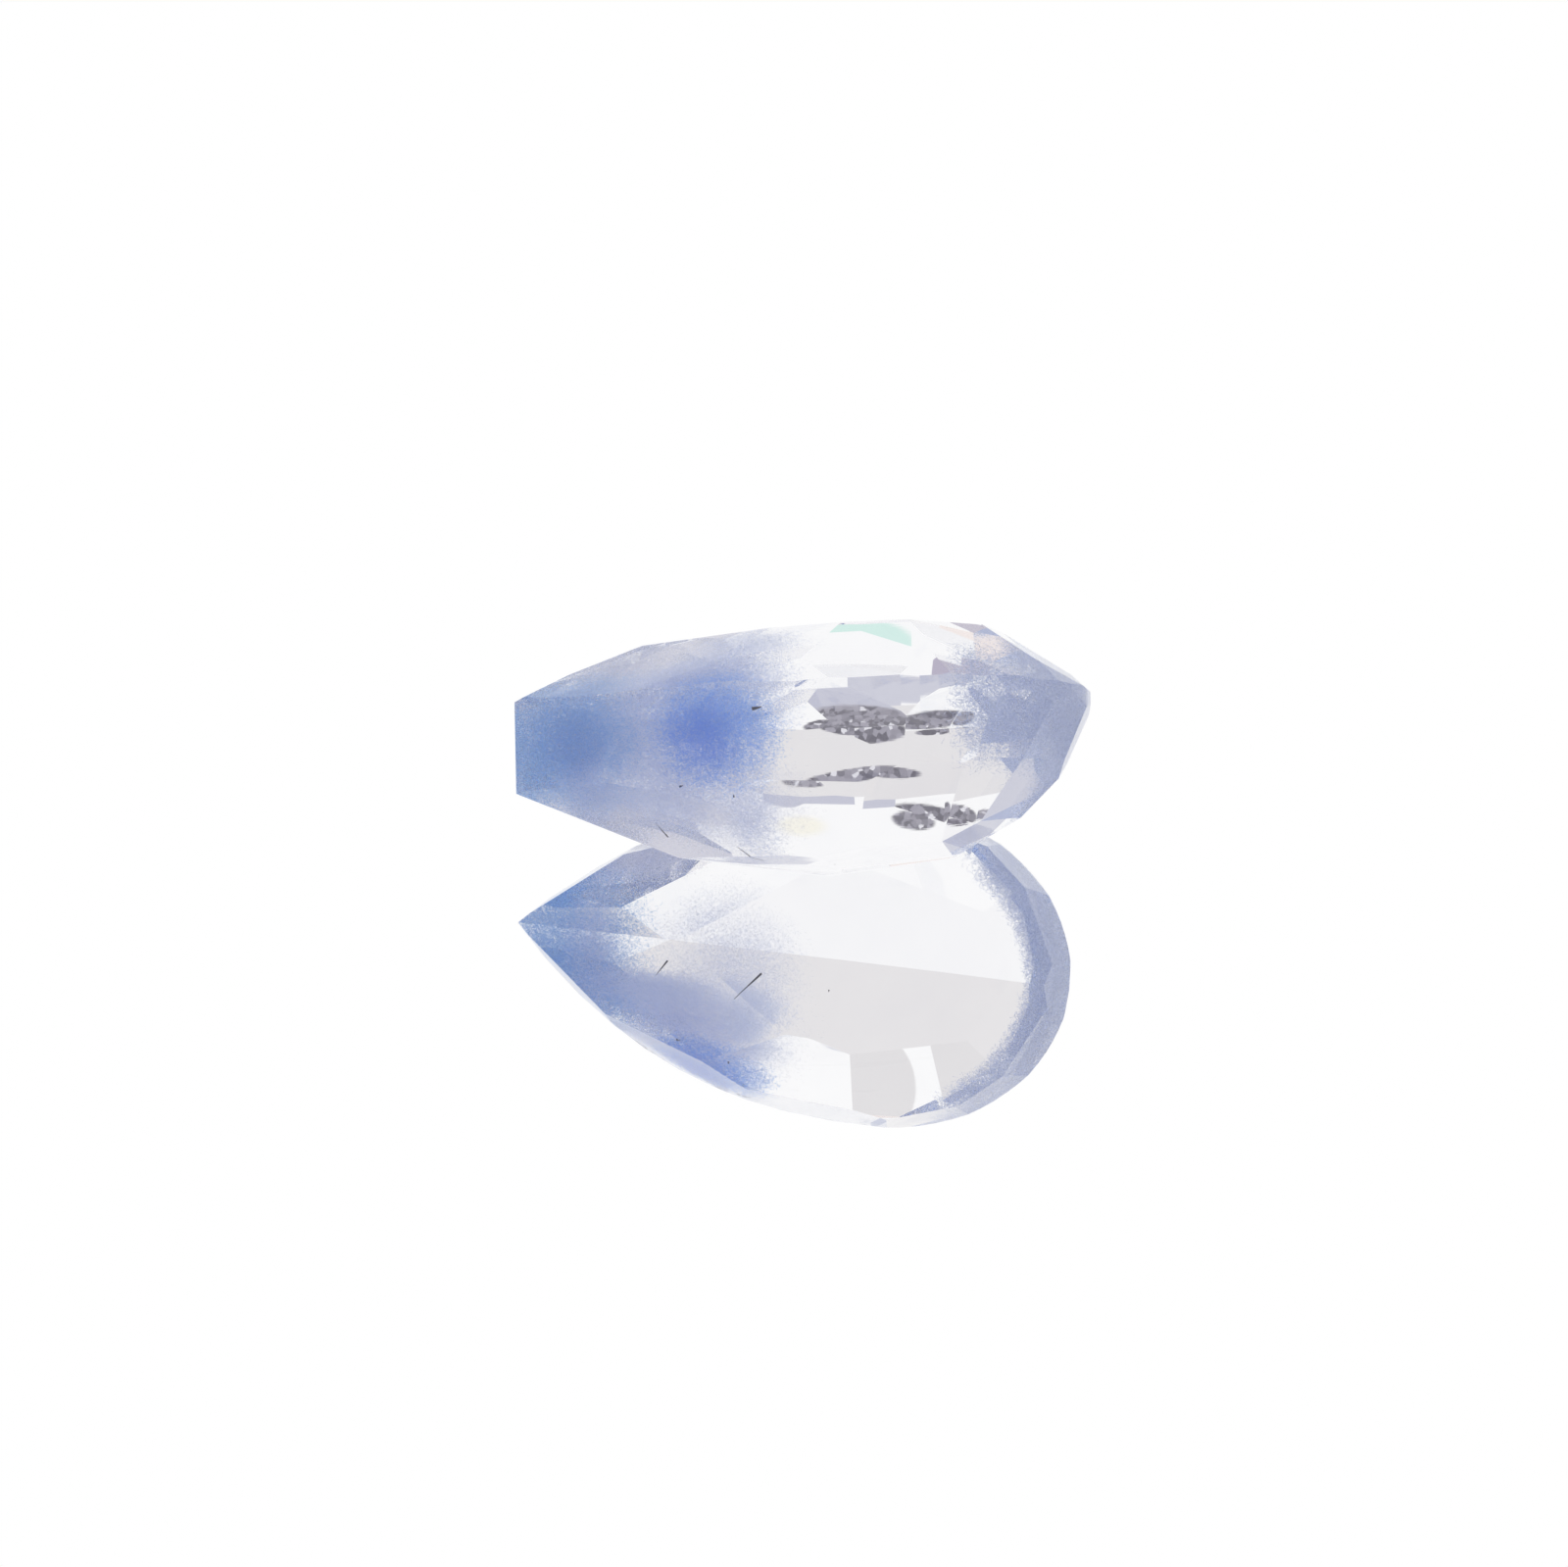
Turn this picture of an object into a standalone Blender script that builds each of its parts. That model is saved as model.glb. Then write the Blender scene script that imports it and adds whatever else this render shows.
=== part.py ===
"""A cut and polished dumortierite quartz, lying on one side of its pavilion.

The stone is one solid. A block is ground by one flat plane for each facet, as a
cutter does: the girdle's sides first, then the crown, the table and the three
steps of the pavilion. The finished stone is then laid on its resting facet.

While it is cut, X runs along the stone from the tip, Y runs across it, Z points
at the table, and the girdle lies in the plane Z = 0. Lengths are millimetres
until the last step.
"""

import math

import bmesh
import bpy
from mathutils import Matrix, Vector

MM = 0.001

# Driving dimensions of the pear-shaped girdle
LENGTH = 16.0
WIDTH = 9.13
BELLY = 10.79
TIP_BEND = 2.45

# Height of the table over the girdle
TABLE_HEIGHT = 1.95

# Azimuth of the girdle's sides at the tip, and the step between its flat sides
TIP_AZIMUTH = 135
GIRDLE_STEP = 5

# The facet of the second step that the stone rests on, and the stone's turn
# about the upright axis once it lies there
REST_AZIMUTH = 98
REST_SLOPE = 47.5
REST_TURN = 4.1

# Facets of one side, each as azimuth from the round end and slope from the
# girdle plane, in degrees, and height where the plane meets the girdle's side
CROWN_MAINS = (
    (17, 35.0, 0.22),
    (53, 38.0, 0.22),
    (91, 47.0, 0.19),
    (105, 41.5, 0.28),
    (122, 34.0, 0.30),
    (162, 26.0, 0.50),
)
UPPER_GIRDLE = (
    (7, 44.0, 0.17),
    (28, 44.0, 0.17),
    (43, 44.0, 0.17),
    (65, 46.0, 0.17),
    (82, 52.0, 0.17),
    (98, 52.0, 0.17),
    (113, 45.5, 0.26),
)
FIRST_STEP = (
    (0, 65.0, 0.15),
    (24.5, 64.0, 0.15),
    (49.5, 72.5, 0.15),
    (72.5, 78.0, 0.12),
    (95, 80.0, 0.08),
    (112, 80.0, 0.10),
    (129, 87.0, 0.15),
)
SECOND_STEP = (
    (22, 46.5, 0.95),
    (49, 46.5, 1.35),
    (72.5, 45.5, 1.70),
    (REST_AZIMUTH, REST_SLOPE, 2.04),
    (118, 51.5, 2.30),
)
THIRD_STEP = (
    (16, 30.0, 2.02),
    (47, 9.0, 3.64),
    (97.7, 5.0, 4.20),
    (157.5, 7.8, 3.45),
    (131, 33.5, 2.02),
)

# Shorter edges, where several facets all but meet in one point, are closed up
SMALLEST_EDGE = 0.01

CROWN = 1
PAVILION = -1

STONE_COLOR = (0.60, 0.66, 0.80, 1.0)
STONE_ROUGHNESS = 0.02
QUARTZ_IOR = 1.544


def girdle_outline(steps=240):
    """Points of the pear's outline: a power curve to the belly, then a half ellipse."""
    half = WIDTH / 2
    points = []
    for i in range(steps + 1):
        x = LENGTH * i / steps
        if x < BELLY:
            y = half * (1 - ((BELLY - x) / BELLY) ** TIP_BEND)
        else:
            y = half * math.sqrt(max(0.0, 1 - ((x - BELLY) / (LENGTH - BELLY)) ** 2))
        points.append(Vector((x, y, 0)))
    return points


OUTLINE = girdle_outline()


def side_distance(azimuth):
    """Distance from the tip's axis to the girdle's side that faces this azimuth."""
    angle = math.radians(abs(azimuth))
    direction = Vector((math.cos(angle), math.sin(angle), 0))
    return max(point.dot(direction) for point in OUTLINE)


def grind(bm, normal, distance):
    """Cut away all that lies beyond one plane and close the cut with one face."""
    geometry = bm.verts[:] + bm.edges[:] + bm.faces[:]
    cut = bmesh.ops.bisect_plane(
        bm, geom=geometry, dist=1e-6, plane_co=normal * distance, plane_no=normal, clear_outer=True
    )
    rim = [item for item in cut["geom_cut"] if isinstance(item, bmesh.types.BMEdge)]
    open_rim = [edge for edge in rim if edge.is_boundary]
    if len(open_rim) > 2:
        bmesh.ops.edgeloop_fill(bm, edges=open_rim)


def grind_facet(bm, azimuth, slope, height, side):
    """Grind one facet and its mirror image across the stone's long axis."""
    lean = math.radians(slope)
    distance = math.sin(lean) * side_distance(azimuth) + math.cos(lean) * height
    turns = (azimuth,) if azimuth in (0, 180) else (azimuth, -azimuth)
    for turn in turns:
        angle = math.radians(turn)
        normal = Vector(
            (math.sin(lean) * math.cos(angle), math.sin(lean) * math.sin(angle), side * math.cos(lean))
        )
        grind(bm, normal, distance)


def cut_stone():
    """Grind the whole stone out of a block, girdle first."""
    bm = bmesh.new()
    bmesh.ops.create_cube(bm, size=3 * LENGTH)
    for azimuth in range(0, TIP_AZIMUTH + 1, GIRDLE_STEP):
        grind_facet(bm, azimuth, 90, 0, CROWN)
    for facets in (UPPER_GIRDLE, CROWN_MAINS):
        for azimuth, slope, height in facets:
            grind_facet(bm, azimuth, slope, height, CROWN)
    grind(bm, Vector((0, 0, 1)), TABLE_HEIGHT)
    for facets in (FIRST_STEP, SECOND_STEP, THIRD_STEP):
        for azimuth, slope, height in facets:
            grind_facet(bm, azimuth, slope, height, PAVILION)
    bmesh.ops.remove_doubles(bm, verts=bm.verts, dist=SMALLEST_EDGE)
    return bm


def lay_down(bm):
    """Turn the resting facet to the ground and bring the stone to metres."""
    face_forward = Matrix.Rotation(math.radians(90 - REST_AZIMUTH), 4, "Z")
    lean_back = Matrix.Rotation(math.radians(-REST_SLOPE), 4, "X")
    turn = Matrix.Rotation(math.radians(REST_TURN), 4, "Z")
    bmesh.ops.transform(bm, matrix=turn @ lean_back @ face_forward, verts=bm.verts)
    lowest = [min(v.co[axis] for v in bm.verts) for axis in range(3)]
    highest = [max(v.co[axis] for v in bm.verts) for axis in range(3)]
    middle = Vector(((lowest[0] + highest[0]) / 2, (lowest[1] + highest[1]) / 2, lowest[2]))
    bmesh.ops.translate(bm, vec=-middle, verts=bm.verts)
    bmesh.ops.scale(bm, vec=(MM, MM, MM), verts=bm.verts)


def quartz_material():
    """Clear, faintly blue quartz with a polished surface."""
    material = bpy.data.materials.new("dumortierite quartz")
    material.use_nodes = True
    shader = material.node_tree.nodes["Principled BSDF"]
    shader.inputs["Base Color"].default_value = STONE_COLOR
    shader.inputs["Roughness"].default_value = STONE_ROUGHNESS
    shader.inputs["Metallic"].default_value = 0.0
    shader.inputs["IOR"].default_value = QUARTZ_IOR
    shader.inputs["Transmission Weight"].default_value = 1.0
    material.diffuse_color = STONE_COLOR
    return material


def build_stone():
    """Make the stone's object, flat-shaded, with its faces outward."""
    bm = cut_stone()
    lay_down(bm)
    bmesh.ops.recalc_face_normals(bm, faces=bm.faces)
    mesh = bpy.data.meshes.new("stone")
    bm.to_mesh(mesh)
    bm.free()
    mesh.materials.append(quartz_material())
    stone = bpy.data.objects.new("stone", mesh)
    bpy.context.collection.objects.link(stone)
    return stone


for old_object in list(bpy.data.objects):
    bpy.data.objects.remove(old_object, do_unlink=True)
build_stone()
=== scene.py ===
import math

import bmesh
import bpy
from mathutils import Matrix, Vector


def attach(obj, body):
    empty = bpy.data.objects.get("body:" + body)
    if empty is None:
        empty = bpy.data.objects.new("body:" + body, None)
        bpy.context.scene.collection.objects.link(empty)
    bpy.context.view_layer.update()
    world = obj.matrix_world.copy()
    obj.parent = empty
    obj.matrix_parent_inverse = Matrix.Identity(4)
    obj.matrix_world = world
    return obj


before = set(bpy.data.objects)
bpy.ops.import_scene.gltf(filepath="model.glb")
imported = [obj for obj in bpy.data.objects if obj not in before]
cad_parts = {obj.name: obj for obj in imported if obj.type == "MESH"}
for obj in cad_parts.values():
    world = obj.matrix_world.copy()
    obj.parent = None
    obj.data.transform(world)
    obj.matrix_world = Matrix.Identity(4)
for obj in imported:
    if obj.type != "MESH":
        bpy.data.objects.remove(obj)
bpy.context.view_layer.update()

# The stone: one natural quartz crystal, colourless and clear, ground facet by facet on a flat lap
# and polished by hand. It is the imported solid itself, so only its finish is made here.
MM = 0.001
QUARTZ_IOR = 1.544
QUARTZ_WHITE = "#ffffff"
QUARTZ_MILKY = "#f8f8fa"
POLISH_LINE_SPACING = 0.06 * MM
POLISH_LINE_LENGTH = 4.0 * MM
POLISH_LINE_DEPTH = 0.00003 * MM
RUBBED_PATCH_SIZE = 1.2 * MM
POLISHED_ROUGHNESS = 0.0
RUBBED_ROUGHNESS = 0.02
QUARTZ_TINT = "#ececf0"
QUARTZ_TINT_DENSITY = 25.0


def linear(hex_colour):
    """An sRGB hex colour as the linear RGBA values that shaders take."""
    channels = [int(hex_colour[i:i + 2], 16) / 255 for i in (1, 3, 5)]
    return [c / 12.92 if c <= 0.04045 else ((c + 0.055) / 1.055) ** 2.4 for c in channels] + [1.0]


def add(tree, kind, settings=None, links=None):
    """Add one node. Settings name its properties or its inputs, links name inputs and what feeds them."""
    node = tree.nodes.new(kind)
    for name, value in (settings or {}).items():
        if isinstance(name, str) and hasattr(node, name):
            setattr(node, name, value)
        else:
            node.inputs[name].default_value = value
    for name, source in (links or {}).items():
        tree.links.new(source, node.inputs[name])
    return node


def new_material(name):
    """An empty material and its Principled shader."""
    material = bpy.data.materials.new(name)
    material.use_nodes = True
    return material, material.node_tree, material.node_tree.nodes["Principled BSDF"]


quartz, tree, shader = new_material("hand polished clear quartz")
place = add(tree, "ShaderNodeTexCoord").outputs["Object"]
drawn_out = add(tree, "ShaderNodeMapping",
                {"Scale": (1 / POLISH_LINE_LENGTH, 1 / POLISH_LINE_SPACING, 1 / POLISH_LINE_SPACING)},
                {"Vector": place})
lines = add(tree, "ShaderNodeTexNoise", {"Scale": 1.0, "Detail": 2.0}, {"Vector": drawn_out.outputs["Vector"]})
patches = add(tree, "ShaderNodeTexNoise", {"Scale": 1 / RUBBED_PATCH_SIZE, "Detail": 3.0}, {"Vector": place})
rubbed = add(tree, "ShaderNodeMapRange",
             {"From Min": 0.55, "From Max": 0.75, "To Min": POLISHED_ROUGHNESS, "To Max": RUBBED_ROUGHNESS},
             {"Value": patches.outputs["Fac"]})
milky = add(tree, "ShaderNodeMix",
            {"data_type": "RGBA", 6: linear(QUARTZ_WHITE), 7: linear(QUARTZ_MILKY)},
            {0: patches.outputs["Fac"]})
polish = add(tree, "ShaderNodeBump", {"Strength": 0.5, "Distance": POLISH_LINE_DEPTH},
             {"Height": lines.outputs["Fac"]})
tint = add(tree, "ShaderNodeVolumeAbsorption",
           {"Color": linear(QUARTZ_TINT), "Density": QUARTZ_TINT_DENSITY})
shader.inputs["IOR"].default_value = QUARTZ_IOR
shader.inputs["Transmission Weight"].default_value = 1.0
tree.links.new(milky.outputs[2], shader.inputs["Base Color"])
tree.links.new(rubbed.outputs["Result"], shader.inputs["Roughness"])
tree.links.new(polish.outputs["Normal"], shader.inputs["Normal"])
tree.links.new(tint.outputs["Volume"], tree.nodes["Material Output"].inputs["Volume"])
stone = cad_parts["stone"]
for material_slot in stone.material_slots:
    material_slot.material = quartz

# The blue clouds: hair-fine dumortierite needles that grew first and were closed in by the quartz.
# They lie in every direction, thickest at the tip and in the flank that faces the camera. Each cloud
# is one piece of loose needles, strewn inside the stone by a node tree.
REST_SLOPE = 47.5
REST_AZIMUTH = 98.0
REST_TURN = 4.1
# Where the tip of the stone's own long axis lies, at the girdle's height
TIP = Vector((-7.949, 0.955, 3.769)) * MM
NEEDLE_SLIMNESS = 10
NEEDLE_SIDES = 3
BILLOW_SIZE = 1.6 * MM

# Each cloud's middle and half sizes in mm along the stone, across it and up to the table, its needles
# to the cubic mm and their length in mm, the share of its radius that fades out, and its tint
CLOUDS = {
    "tip_cloud": ((1.5, -0.8, -0.75), (3.4, 3.1, 2.0), 4000, 0.1, 0.9, "steel"),
    "flank_heart": ((5.9, -3.05, -1.05), (2.35, 0.95, 1.8), 4700, 0.1, 0.6, "deep"),
    "far_side_mist": ((3.7, 2.1, -0.1), (2.1, 1.1, 2.3), 4600, 0.1, 0.9, "grey"),
    "middle_mist": ((4.4, -1.25, -1.45), (2.8, 0.75, 3.0), 6900, 0.1, 0.9, "pale"),
    "upright_mist": ((6.85, -1.8, -2.8), (1.0, 0.95, 4.2), 3000, 0.1, 0.9, "pale"),
    "keel_mist": ((5.55, -2.05, -2.7), (3.6, 3.6, 1.6), 1700, 0.085, 0.9, "grey"),
    "girdle_mist": ((5.65, -1.55, -0.15), (3.1, 1.1, 1.15), 4900, 0.1, 0.65, "pale"),
    "table_mist": ((6.7, -0.5, 0.65), (2.3, 2.2, 0.6), 5200, 0.07, 0.8, "pale"),
    "tip_mist": ((2.25, -0.4, -1.95), (1.1, 2.9, 0.75), 3800, 0.1, 0.8, "pale"),
}
# The thin haze along the girdle at the round end, in the same order, and the share of its half sizes
# that stays clear in the middle
RIM_HAZE = ((10.8, -0.2, 0.0), (5.8, 5.2, 2.8), 1550, 0.15, 0.15, "dusky")
RIM_HOLLOW = 0.56
RIM_START = 0.22
# Shares below which a cloud is neither hollow nor cut short
NO_HOLLOW, NO_START = -1.0, -2.0
# Base colours of each tint, deeper and paler, mixed from billow to billow
TINTS = {
    "steel": ("#9ac6ed", "#b2d2f2"),
    "deep": ("#93c0f5", "#aaccf9"),
    "pale": ("#dfe5f5", "#e9eef9"),
    "grey": ("#f0eff4", "#f5f4f8"),
    "dusky": ("#dadfee", "#e3e8f3"),
}

stone_turn = (Matrix.Rotation(math.radians(REST_TURN), 4, "Z")
              @ Matrix.Rotation(math.radians(-REST_SLOPE), 4, "X")
              @ Matrix.Rotation(math.radians(90 - REST_AZIMUTH), 4, "Z"))


def dumortierite(name, deep, pale):
    """Dumortierite: a satiny blue mineral, each needle even in colour, deeper or paler from billow to billow."""
    material, tree, shader = new_material(name)
    place = add(tree, "ShaderNodeTexCoord").outputs["Object"]
    billows = add(tree, "ShaderNodeTexNoise", {"Scale": 1 / BILLOW_SIZE, "Detail": 3.0}, {"Vector": place})
    blue = add(tree, "ShaderNodeMix", {"data_type": "RGBA", 6: linear(deep), 7: linear(pale)},
               {0: billows.outputs["Fac"]})
    tree.links.new(blue.outputs[2], shader.inputs["Base Color"])
    shader.inputs["Roughness"].default_value = 0.6
    return material


def cloud_tree():
    """Needles inside a host solid: random places in an egg-shaped region, thinned by distance and noise."""
    tree = bpy.data.node_groups.new("needle cloud", "GeometryNodeTree")
    sockets = (("Host", "NodeSocketGeometry"), ("Tried", "NodeSocketInt"), ("Seed", "NodeSocketInt"),
               ("Middle", "NodeSocketVector"), ("Turn", "NodeSocketRotation"), ("Reach", "NodeSocketVector"),
               ("Fade", "NodeSocketFloat"), ("Hollow", "NodeSocketFloat"), ("Start", "NodeSocketFloat"),
               ("Billow Size", "NodeSocketFloat"),
               ("Needle Length", "NodeSocketFloat"), ("Needle Width", "NodeSocketFloat"),
               ("Needle Sides", "NodeSocketInt"), ("Material", "NodeSocketMaterial"))
    for name, kind in sockets:
        tree.interface.new_socket(name, in_out="INPUT", socket_type=kind)
    tree.interface.new_socket("Needles", in_out="OUTPUT", socket_type="NodeSocketGeometry")
    given = add(tree, "NodeGroupInput").outputs

    # A random place in the cube of side 2, and where the cloud's region puts it in the stone
    corner = add(tree, "FunctionNodeRandomValue", {"data_type": "FLOAT_VECTOR", 0: (-1, -1, -1), 1: (1, 1, 1)},
                 {"Seed": given["Seed"]}).outputs[0]
    region = add(tree, "FunctionNodeCombineTransform", None,
                 {"Translation": given["Middle"], "Rotation": given["Turn"], "Scale": given["Reach"]})
    spot = add(tree, "FunctionNodeTransformPoint", None, {"Vector": corner, "Transform": region.outputs[0]})
    points = add(tree, "GeometryNodePoints", None, {"Count": given["Tried"], "Position": spot.outputs[0]})

    # Thinner towards the region's edge and between the billows
    radius = add(tree, "ShaderNodeVectorMath", {"operation": "LENGTH"}, {0: corner})
    solid_part = add(tree, "ShaderNodeMath", {"operation": "SUBTRACT", 0: 1.0}, {1: given["Fade"]})
    edge = add(tree, "ShaderNodeMapRange", {"interpolation_type": "SMOOTHSTEP", "To Min": 1.0, "To Max": 0.0},
               {"Value": radius.outputs["Value"], "From Min": solid_part.outputs[0]})
    flat = add(tree, "ShaderNodeVectorMath", {"operation": "MULTIPLY", 1: (1, 1, 0)}, {0: corner})
    from_axis = add(tree, "ShaderNodeVectorMath", {"operation": "LENGTH"}, {0: flat.outputs[0]})
    rim = add(tree, "ShaderNodeMath", {"operation": "ADD", 1: 0.05}, {0: given["Hollow"]})
    wall = add(tree, "ShaderNodeMapRange", {"interpolation_type": "SMOOTHSTEP"},
               {"Value": from_axis.outputs["Value"], "From Min": given["Hollow"], "From Max": rim.outputs[0]})
    along = add(tree, "ShaderNodeSeparateXYZ", None, {0: corner})
    full_at = add(tree, "ShaderNodeMath", {"operation": "ADD", 1: 0.16}, {0: given["Start"]})
    ahead = add(tree, "ShaderNodeMapRange", {"interpolation_type": "SMOOTHSTEP"},
                {"Value": along.outputs["X"], "From Min": given["Start"], "From Max": full_at.outputs[0]})
    here = add(tree, "GeometryNodeInputPosition").outputs[0]
    billow_scale = add(tree, "ShaderNodeMath", {"operation": "DIVIDE", 0: 1.0}, {1: given["Billow Size"]})
    billows = add(tree, "ShaderNodeTexNoise", {"Detail": 3.0}, {"Vector": here, "Scale": billow_scale.outputs[0]})
    billow = add(tree, "ShaderNodeMapRange",
                 {"From Min": 0.3, "From Max": 0.62, "To Min": 0.5, "To Max": 1.0},
                 {"Value": billows.outputs["Fac"]})
    soft = add(tree, "ShaderNodeMath", {"operation": "MULTIPLY"},
               {0: edge.outputs["Result"], 1: billow.outputs["Result"]})
    hollowed = add(tree, "ShaderNodeMath", {"operation": "MULTIPLY"},
                   {0: soft.outputs[0], 1: wall.outputs["Result"]})
    density = add(tree, "ShaderNodeMath", {"operation": "MULTIPLY"},
                  {0: hollowed.outputs[0], 1: ahead.outputs["Result"]})
    next_seed = add(tree, "ShaderNodeMath", {"operation": "ADD", 1: 1.0}, {0: given["Seed"]})
    lot = add(tree, "FunctionNodeRandomValue", {"data_type": "FLOAT"}, {"Seed": next_seed.outputs[0]})
    missed = add(tree, "FunctionNodeCompare", {"data_type": "FLOAT", "operation": "GREATER_THAN"},
                 {0: lot.outputs[1], 1: density.outputs[0]})

    # Inside a solid with flat faces and no hollows, a ray upwards meets one face from behind
    nearest = add(tree, "GeometryNodeProximity", {"target_element": "FACES"}, {0: given["Host"]})
    ray = add(tree, "GeometryNodeRaycast", {"Ray Direction": (0, 0, 1), "Ray Length": 100 * MM},
              {"Target Geometry": given["Host"]})
    rising = add(tree, "ShaderNodeSeparateXYZ", None, {0: ray.outputs["Hit Normal"]})
    outside = add(tree, "FunctionNodeCompare", {"data_type": "FLOAT", "operation": "LESS_EQUAL", 1: 0.0},
                  {0: rising.outputs["Z"]})
    dropped = add(tree, "FunctionNodeBooleanMath", {"operation": "OR"},
                  {0: missed.outputs[0], 1: outside.outputs[0]})
    kept = add(tree, "GeometryNodeDeleteGeometry", {"domain": "POINT"},
               {"Geometry": points.outputs[0], "Selection": dropped.outputs[0]})

    # A needle is a thin spike, shorter where the stone's surface is near
    spike = add(tree, "GeometryNodeMeshCone", {"fill_type": "NGON", "Radius Top": 0.0, "Radius Bottom": 0.5,
                                               "Depth": 1.0}, {"Vertices": given["Needle Sides"]})
    centred = add(tree, "GeometryNodeTransform", {"Translation": (0, 0, -0.5)}, {0: spike.outputs["Mesh"]})
    size_seed = add(tree, "ShaderNodeMath", {"operation": "ADD", 1: 2.0}, {0: given["Seed"]})
    share = add(tree, "FunctionNodeRandomValue", {"data_type": "FLOAT", 2: 0.4, 3: 1.6},
                {"Seed": size_seed.outputs[0]})
    wished = add(tree, "ShaderNodeMath", {"operation": "MULTIPLY"}, {0: given["Needle Length"], 1: share.outputs[1]})
    room = add(tree, "ShaderNodeMath", {"operation": "MULTIPLY", 1: 1.8}, {0: nearest.outputs["Distance"]})
    length = add(tree, "ShaderNodeMath", {"operation": "MINIMUM"}, {0: wished.outputs[0], 1: room.outputs[0]})
    size = add(tree, "ShaderNodeCombineXYZ", None,
               {0: given["Needle Width"], 1: given["Needle Width"], 2: length.outputs[0]})
    turn_seed = add(tree, "ShaderNodeMath", {"operation": "ADD", 1: 3.0}, {0: given["Seed"]})
    turn = add(tree, "FunctionNodeRandomValue",
               {"data_type": "FLOAT_VECTOR", 0: (0, 0, 0), 1: (math.tau, math.tau, math.tau)},
               {"Seed": turn_seed.outputs[0]})
    rotation = add(tree, "FunctionNodeEulerToRotation", None, {0: turn.outputs[0]})
    strewn = add(tree, "GeometryNodeInstanceOnPoints", None,
                 {"Points": kept.outputs[0], "Instance": centred.outputs[0],
                  "Rotation": rotation.outputs[0], "Scale": size.outputs[0]})
    real = add(tree, "GeometryNodeRealizeInstances", None, {0: strewn.outputs[0]})
    coated = add(tree, "GeometryNodeSetMaterial", None,
                 {"Geometry": real.outputs[0], "Material": given["Material"]})
    add(tree, "NodeGroupOutput", None, {0: coated.outputs[0]})
    return tree


def welded_copy(source, name):
    """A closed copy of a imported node's mesh, whose triangles come loose."""
    bm = bmesh.new()
    bm.from_mesh(source.data)
    bmesh.ops.remove_doubles(bm, verts=bm.verts, dist=0.001 * MM)
    mesh = bpy.data.meshes.new(name)
    bm.to_mesh(mesh)
    bm.free()
    copy = bpy.data.objects.new(name, mesh)
    bpy.context.scene.collection.objects.link(copy)
    return copy


def grow(name, host, tree, values):
    """Run a node tree on the host with these values, keep the result as a plain mesh, and clear up."""
    modifier = host.modifiers.new(name, "NODES")
    modifier.node_group = tree
    for item in tree.interface.items_tree:
        if item.in_out == "INPUT" and item.name in values:
            modifier[item.identifier] = values[item.name]
    evaluated = host.evaluated_get(bpy.context.evaluated_depsgraph_get())
    mesh = bpy.data.meshes.new_from_object(evaluated)
    host.modifiers.remove(modifier)
    mesh.name = name
    piece = bpy.data.objects.new(name, mesh)
    bpy.context.scene.collection.objects.link(piece)
    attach(piece, "root")
    print("needles", name, len(mesh.polygons))
    return piece


needles = {tint: dumortierite(tint + " dumortierite needles", *colours) for tint, colours in TINTS.items()}
host = welded_copy(stone, "host")
needle_cloud = cloud_tree()
strewings = [(name, *row, NO_HOLLOW, NO_START) for name, row in CLOUDS.items()]
strewings.append(("rim_haze", *RIM_HAZE, RIM_HOLLOW, RIM_START))
for seed, (name, middle, reach, crowd, length, fade, tint, hollow, start) in enumerate(strewings):
    grow(name, host, needle_cloud, {
        "Tried": round(crowd * 8 * math.prod(reach)),
        "Seed": 10 * seed + 1,
        "Middle": TIP + stone_turn.to_3x3() @ (Vector(middle) * MM),
        "Turn": stone_turn.to_euler(),
        "Reach": Vector(reach) * MM,
        "Fade": fade,
        "Hollow": hollow,
        "Start": start,
        "Billow Size": BILLOW_SIZE,
        "Needle Length": length * MM,
        "Needle Width": length * MM / NEEDLE_SLIMNESS,
        "Needle Sides": NEEDLE_SIDES,
        "Material": needles[tint],
    })
bpy.data.objects.remove(host)

# The dark grains: a few specks and splinters of a black mineral in the quartz. Each is one thin spike,
# set between two given points of the stone.
GRAIN_BLACK = "#3d3b46"
# From and to, in mm along the stone, across it and up to the table, and thickness
DARK_GRAINS = (
    ((7.03, -3.62, -0.47), (7.27, -3.6, -0.43), 0.11),
    ((4.90, -2.7, -2.37), (5.02, -2.7, -2.33), 0.07),
    ((6.34, -3.1, -2.65), (6.42, -3.1, -2.6), 0.06),
    ((8.82, -0.90, -4.2), (8.88, -0.88, -4.2), 0.05),
    ((6.94, -0.63, -3.98), (6.30, -1.39, -3.77), 0.07),
    ((4.33, -0.54, -3.35), (4.05, -1.00, -3.03), 0.06),
)

bm = bmesh.new()
for start, end, thickness in DARK_GRAINS:
    start, end = Vector(start) * MM, Vector(end) * MM
    spike = bmesh.ops.create_cone(bm, cap_ends=True, segments=6, radius1=thickness * MM / 2,
                                  radius2=thickness * MM / 8, depth=(end - start).length)
    pose = Matrix.Translation((start + end) / 2) @ (end - start).to_track_quat("Z", "Y").to_matrix().to_4x4()
    bmesh.ops.transform(bm, matrix=Matrix.Translation(TIP) @ stone_turn @ pose, verts=spike["verts"])
mesh = bpy.data.meshes.new("dark_grains")
bm.to_mesh(mesh)
bm.free()
grains = bpy.data.objects.new("dark_grains", mesh)
bpy.context.scene.collection.objects.link(grains)
black, tree, shader = new_material("black mineral grains")
shader.inputs["Base Color"].default_value = linear(GRAIN_BLACK)
shader.inputs["Roughness"].default_value = 0.5
mesh.materials.append(black)
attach(grains, "root")

# The ground: a pale, mirror-like sheet under the stone, level and a hair's breadth below it.
FLOOR_HALF = 1500 * MM
FLOOR_GAP = 0.02 * MM
FLOOR_WHITE = "#ffffff"

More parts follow.
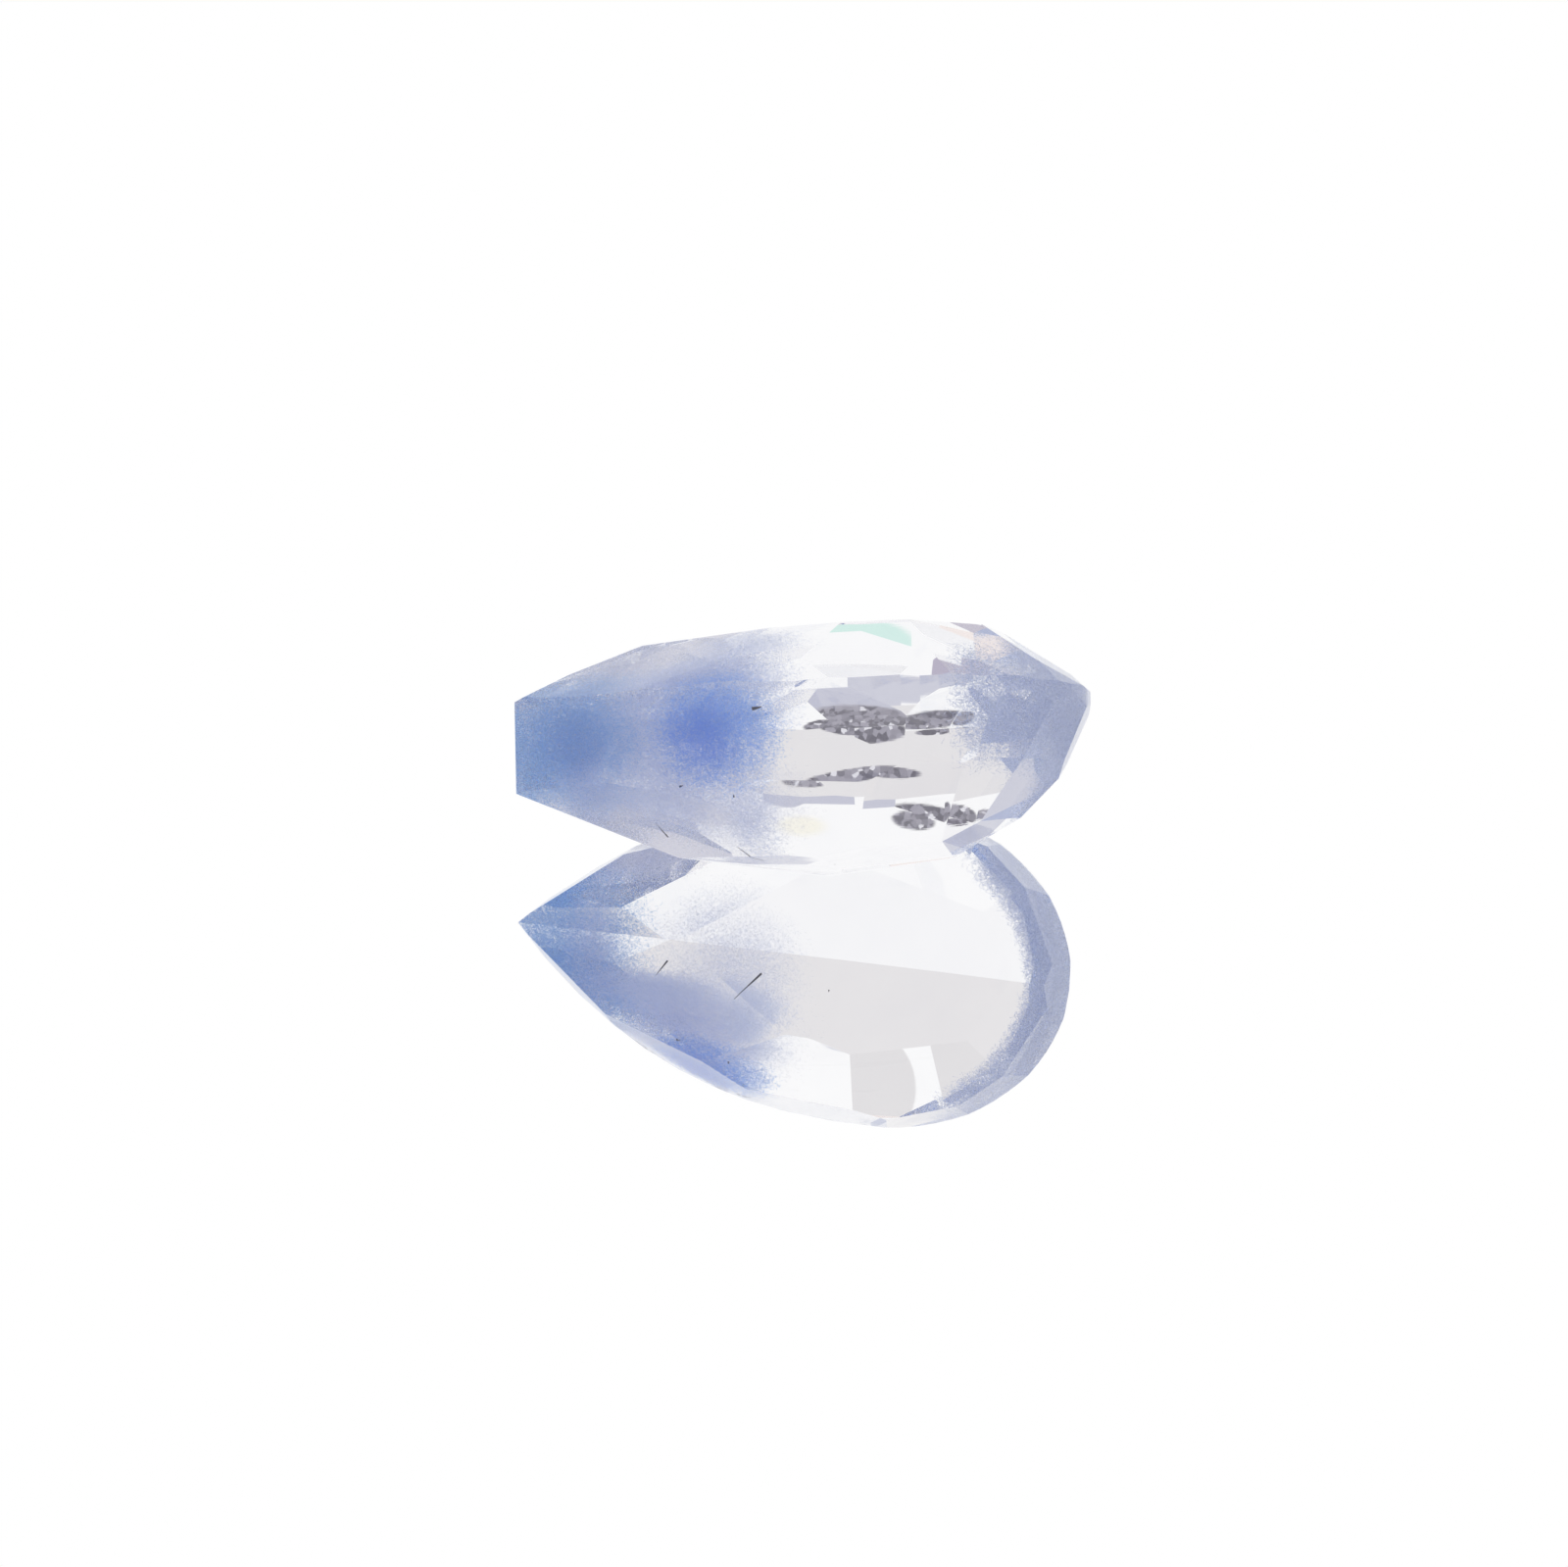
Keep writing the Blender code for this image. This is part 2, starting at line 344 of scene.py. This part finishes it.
bm = bmesh.new()
bmesh.ops.create_grid(bm, x_segments=1, y_segments=1, size=FLOOR_HALF)
bmesh.ops.translate(bm, vec=(0, 0, -FLOOR_GAP), verts=bm.verts)
mesh = bpy.data.meshes.new("pale_floor")
bm.to_mesh(mesh)
bm.free()
floor = bpy.data.objects.new("pale_floor", mesh)
bpy.context.scene.collection.objects.link(floor)
mirror, tree, shader = new_material("white mirror glass")
shader.inputs["Base Color"].default_value = linear(FLOOR_WHITE)
shader.inputs["Metallic"].default_value = 1.0
shader.inputs["Roughness"].default_value = 0.0
mesh.materials.append(mirror)

# The studio: soft white light from all sides, as in a light tent. Only light that has passed through the stone
# meets the tent's darker and tinted places: painted reflections, shade and coloured glints that draw its facets and
# are seen nowhere else.
TENT_WHITE = "#ffffff"
PAINTED_GREY = "#e8e6e7"
# Elevations between which the tent is painted grey, in degrees: a painted reflection met only by light through the
# stone
PAINTED_GREY_LOW, PAINTED_GREY_HIGH = 25.0, 42.6
# Size in degrees and white of the painted sparkles, and the lighter grey of the painted dark reflections
SPARKLE_SIZE = 0.06
SPARKLE_WHITE = "#e4e3ea"
DARK_REFLECTION_GREY = "#a29fac"

# The tent's painted reflections, shade and coloured glints, met only by light through the stone, by tint: how soft
# their rims are, and each place's azimuth from the back towards +X and elevation, its half width and half height
# and its turn, all in degrees
PAINTED_REFLECTION_PLACES = (
    ("#fafafb", 0.15, (
        (-8.0, 47.6, 26.0, 4.5, 0),
    )),
    ("#e3e1e2", 0.05, (
        (-4.8, 15.1, 0.53, 0.5, 0),
        (-15.6, 17.5, 2.0, 1.0, 0),
    )),
    # Painted blue-grey shade
    ("#a6b0d0", 0.3, (
        (-92.0, 42.0, 22.0, 25.0, 0),
        (-54.0, 24.0, 5.0, 4.0, 0),
        (-53.0, 39.0, 3.5, 3.0, 0),
        (-128.0, 1.5, 9.0, 2.5, 0),
        (-39.1, 9.5, 0.3, 0.2, 0),
        (-43.5, 51.0, 2.6, 2.0, 0),
        (-35.7, 55.5, 0.9, 0.7, 0),
    )),
    ("#d2d2de", 0.3, (
        (128.0, 8.0, 30.0, 12.0, 0),
    )),
    ("#c6c7d6", 0.3, (
        (-41.0, 24.5, 8.5, 3.2, 0),
        (12.0, 64.25, 0.8, 0.36, 178),
        (-28.2, 11.7, 1.2, 0.9, 0),
        (11.7, 75.0, 0.6, 0.5, 0),
        (5.3, 14.0, 0.35, 0.12, 0),
        (7.95, 13.45, 0.25, 0.10, 0),
        (-6.2, 13.0, 0.25, 0.12, 0),
        (9.4, 0.1, 0.5, 0.25, 0),
        (2.1, 75.6, 0.4, 0.3, 0),
        (-17.0, 75.7, 4.5, 0.5, 0),
    )),
    ("#b9b2c4", 0.2, (
        (-168.5, 5.2, 5.5, 2.0, 10),
        (-21.7, 54.5, 0.5, 0.4, 0),
    )),
    # Painted peach glints
    ("#fdf0e9", 0.4, (
        (-166.0, 1.5, 12.0, 1.6, 0),
        (-162.9, 8.3, 0.8, 0.5, 0),
    )),
    # Painted cream glint
    ("#fcf9ec", 1.5, (
        (4.45, 5.33, 0.14, 0.07, 0),
    )),
    # Painted cyan-green glints
    ("#d4f2ea", 0.5, (
        (6.6, 66.68, 0.40, 0.10, 0),
        (13.0, 66.15, 0.3, 0.12, 0),
    )),
)
# The darkest places: painted dark reflections in the facets, broken up like crumpled foil and dotted with painted
# white sparkles, met only by light through the stone
DARK_REFLECTION_PLACES = (
    (12.15, 64.42, 0.49, 0.21, 178),
    (3.97, 33.93, 0.28, 0.09, 170),
    (-14.1, 63.57, 0.36, 0.13, 170),
    (-21.9, 58.05, 0.14, 0.07, 155),
    (16.0, 57.76, 0.17, 0.07, 162),
    (6.88, 33.57, 0.24, 0.05, 0),
    (-9.95, 32.89, 0.18, 0.035, 0),
    (-8.12, 38.82, 0.25, 0.05, 0),
    (6.2, 27.96, 0.46, 0.07, 164),
    (9.13, 36.12, 0.2, 0.04, 0),
    (-8.84, 12.98, 0.34, 0.08, 10),
    (-12.0, 12.65, 0.09, 0.04, 102),
    (-20.56, 8.73, 0.15, 0.08, 20),
    (-24.3, 7.58, 0.08, 0.04, 163),
    (-17.33, 1.13, 0.12, 0.05, 172),
    (-6.05, 3.90, 0.20, 0.11, 10),
)
DARK_REFLECTION_BLACK = "#625f6c"
DARK_REFLECTION_RIM = 0.3

world = bpy.data.worlds.new("light tent")
bpy.context.scene.world = world
world.use_nodes = True
tree = world.node_tree
background = tree.nodes["Background"]
direction = add(tree, "ShaderNodeTexCoord").outputs["Generated"]
path = add(tree, "ShaderNodeLightPath").outputs["Transmission Depth"]
through_stone = add(tree, "ShaderNodeMath", {"operation": "GREATER_THAN", 1: 0.5}, {0: path}).outputs[0]


def between(tree, value, low, high):
    """How far a value has come from low to high, from 0 to 1."""
    return add(tree, "ShaderNodeMapRange", {"interpolation_type": "SMOOTHSTEP", "From Min": low, "From Max": high},
               {"Value": value}).outputs["Result"]


def reckon(tree, operation, first, second):
    """One sum of two values."""
    return add(tree, "ShaderNodeMath", {"operation": operation}, {0: first, 1: second}).outputs[0]


def inside_places(tree, direction, places, rim):
    """1 where a direction lies in one of these places, 0 outside their rims."""
    inside = None
    for azimuth, elevation, half_width, half_height, turn in places:
        aim = (Matrix.Rotation(math.radians(-azimuth), 3, "Z")
               @ Matrix.Rotation(math.radians(elevation), 3, "X")
               @ Matrix.Rotation(math.radians(-turn), 3, "Y"))
        half_sizes = (math.sin(math.radians(half_width)), 1, math.sin(math.radians(half_height)))
        offset = add(tree, "ShaderNodeMapping", {"vector_type": "TEXTURE", "Location": aim @ Vector((0, 1, 0)),
                                                 "Rotation": aim.to_euler(), "Scale": half_sizes},
                     {"Vector": direction})
        radius = add(tree, "ShaderNodeVectorMath", {"operation": "LENGTH"}, {0: offset.outputs["Vector"]})
        place = between(tree, radius.outputs["Value"], 1 + rim, 1)
        inside = reckon(tree, "MAXIMUM", inside, place) if inside else place
    return inside


def laid_over(tree, below, above, share):
    """One colour laid over another; either may be a socket or a plain colour."""
    plain = {slot: colour for slot, colour in ((6, below), (7, above)) if isinstance(colour, list)}
    linked = {slot: colour for slot, colour in ((6, below), (7, above)) if slot not in plain}
    return add(tree, "ShaderNodeMix", {"data_type": "RGBA", **plain}, {0: share, **linked}).outputs[2]


parts = add(tree, "ShaderNodeSeparateXYZ", None, {0: direction}).outputs
# The painted grey band, then the painted reflections, shade and glints, each laid on only where light has come
# through the stone
height = [math.sin(math.radians(elevation)) for elevation in (PAINTED_GREY_LOW - 1, PAINTED_GREY_LOW, PAINTED_GREY_HIGH - 0.6, PAINTED_GREY_HIGH)]
wall = reckon(tree, "MULTIPLY", between(tree, parts["Z"], height[0], height[1]),
              between(tree, parts["Z"], height[3], height[2]))
wall = reckon(tree, "MULTIPLY", wall, between(tree, parts["Y"], 0.3, 0.4))
light = laid_over(tree, linear(TENT_WHITE), linear(PAINTED_GREY), reckon(tree, "MULTIPLY", wall, through_stone))
for colour, rim, places in PAINTED_REFLECTION_PLACES:
    inside = reckon(tree, "MULTIPLY", inside_places(tree, direction, places, rim), through_stone)
    light = laid_over(tree, light, linear(colour), inside)
# Painted dark reflections with painted white sparkles, laid on only where light has come through the stone
sparkle_cells = add(tree, "ShaderNodeTexVoronoi", {"Scale": 1 / math.radians(SPARKLE_SIZE)}, {"Vector": direction})
sparkle_cell = add(tree, "ShaderNodeSeparateXYZ", None, {0: sparkle_cells.outputs["Color"]}).outputs["X"]
dark_reflection = laid_over(tree, linear(DARK_REFLECTION_BLACK), linear(DARK_REFLECTION_GREY), between(tree, sparkle_cell, 0.1, 0.9))
dark_reflection = laid_over(tree, dark_reflection, linear(SPARKLE_WHITE), between(tree, sparkle_cell, 0.93, 0.95))
inside = reckon(tree, "MULTIPLY", inside_places(tree, direction, DARK_REFLECTION_PLACES, DARK_REFLECTION_RIM), through_stone)
light = laid_over(tree, light, dark_reflection, inside)
tree.links.new(light, background.inputs["Color"])
background.inputs["Strength"].default_value = 1.0

# The camera: a long lens at arm's length, looking down at the stone at two fifths of a right angle.
ELEVATION = math.radians(40.26)
ROLL = math.radians(1.584)
DISTANCE = 152.15 * MM
FOCUS = Vector((-0.42, 1.704, 1.094)) * MM

lens = bpy.data.cameras.new("camera")
lens.lens = 123.67
lens.sensor_width = 36
lens.clip_start = 10 * MM
camera = bpy.data.objects.new("camera", lens)
bpy.context.scene.collection.objects.link(camera)
bpy.context.scene.camera = camera
camera.matrix_world = (Matrix.Translation(FOCUS)
                       @ Matrix.Rotation(math.pi / 2 - ELEVATION, 4, "X")
                       @ Matrix.Rotation(ROLL, 4, "Z")
                       @ Matrix.Translation((0, 0, DISTANCE)))

# Light meets many facets on its way through the stone, and none of it is blurred or dropped
bpy.context.scene.cycles.blur_glossy = 0.0
for bounces in ("max_bounces", "transmission_bounces", "glossy_bounces", "diffuse_bounces"):
    setattr(bpy.context.scene.cycles, bounces, 24)
bpy.context.scene.view_settings.view_transform = "Standard"
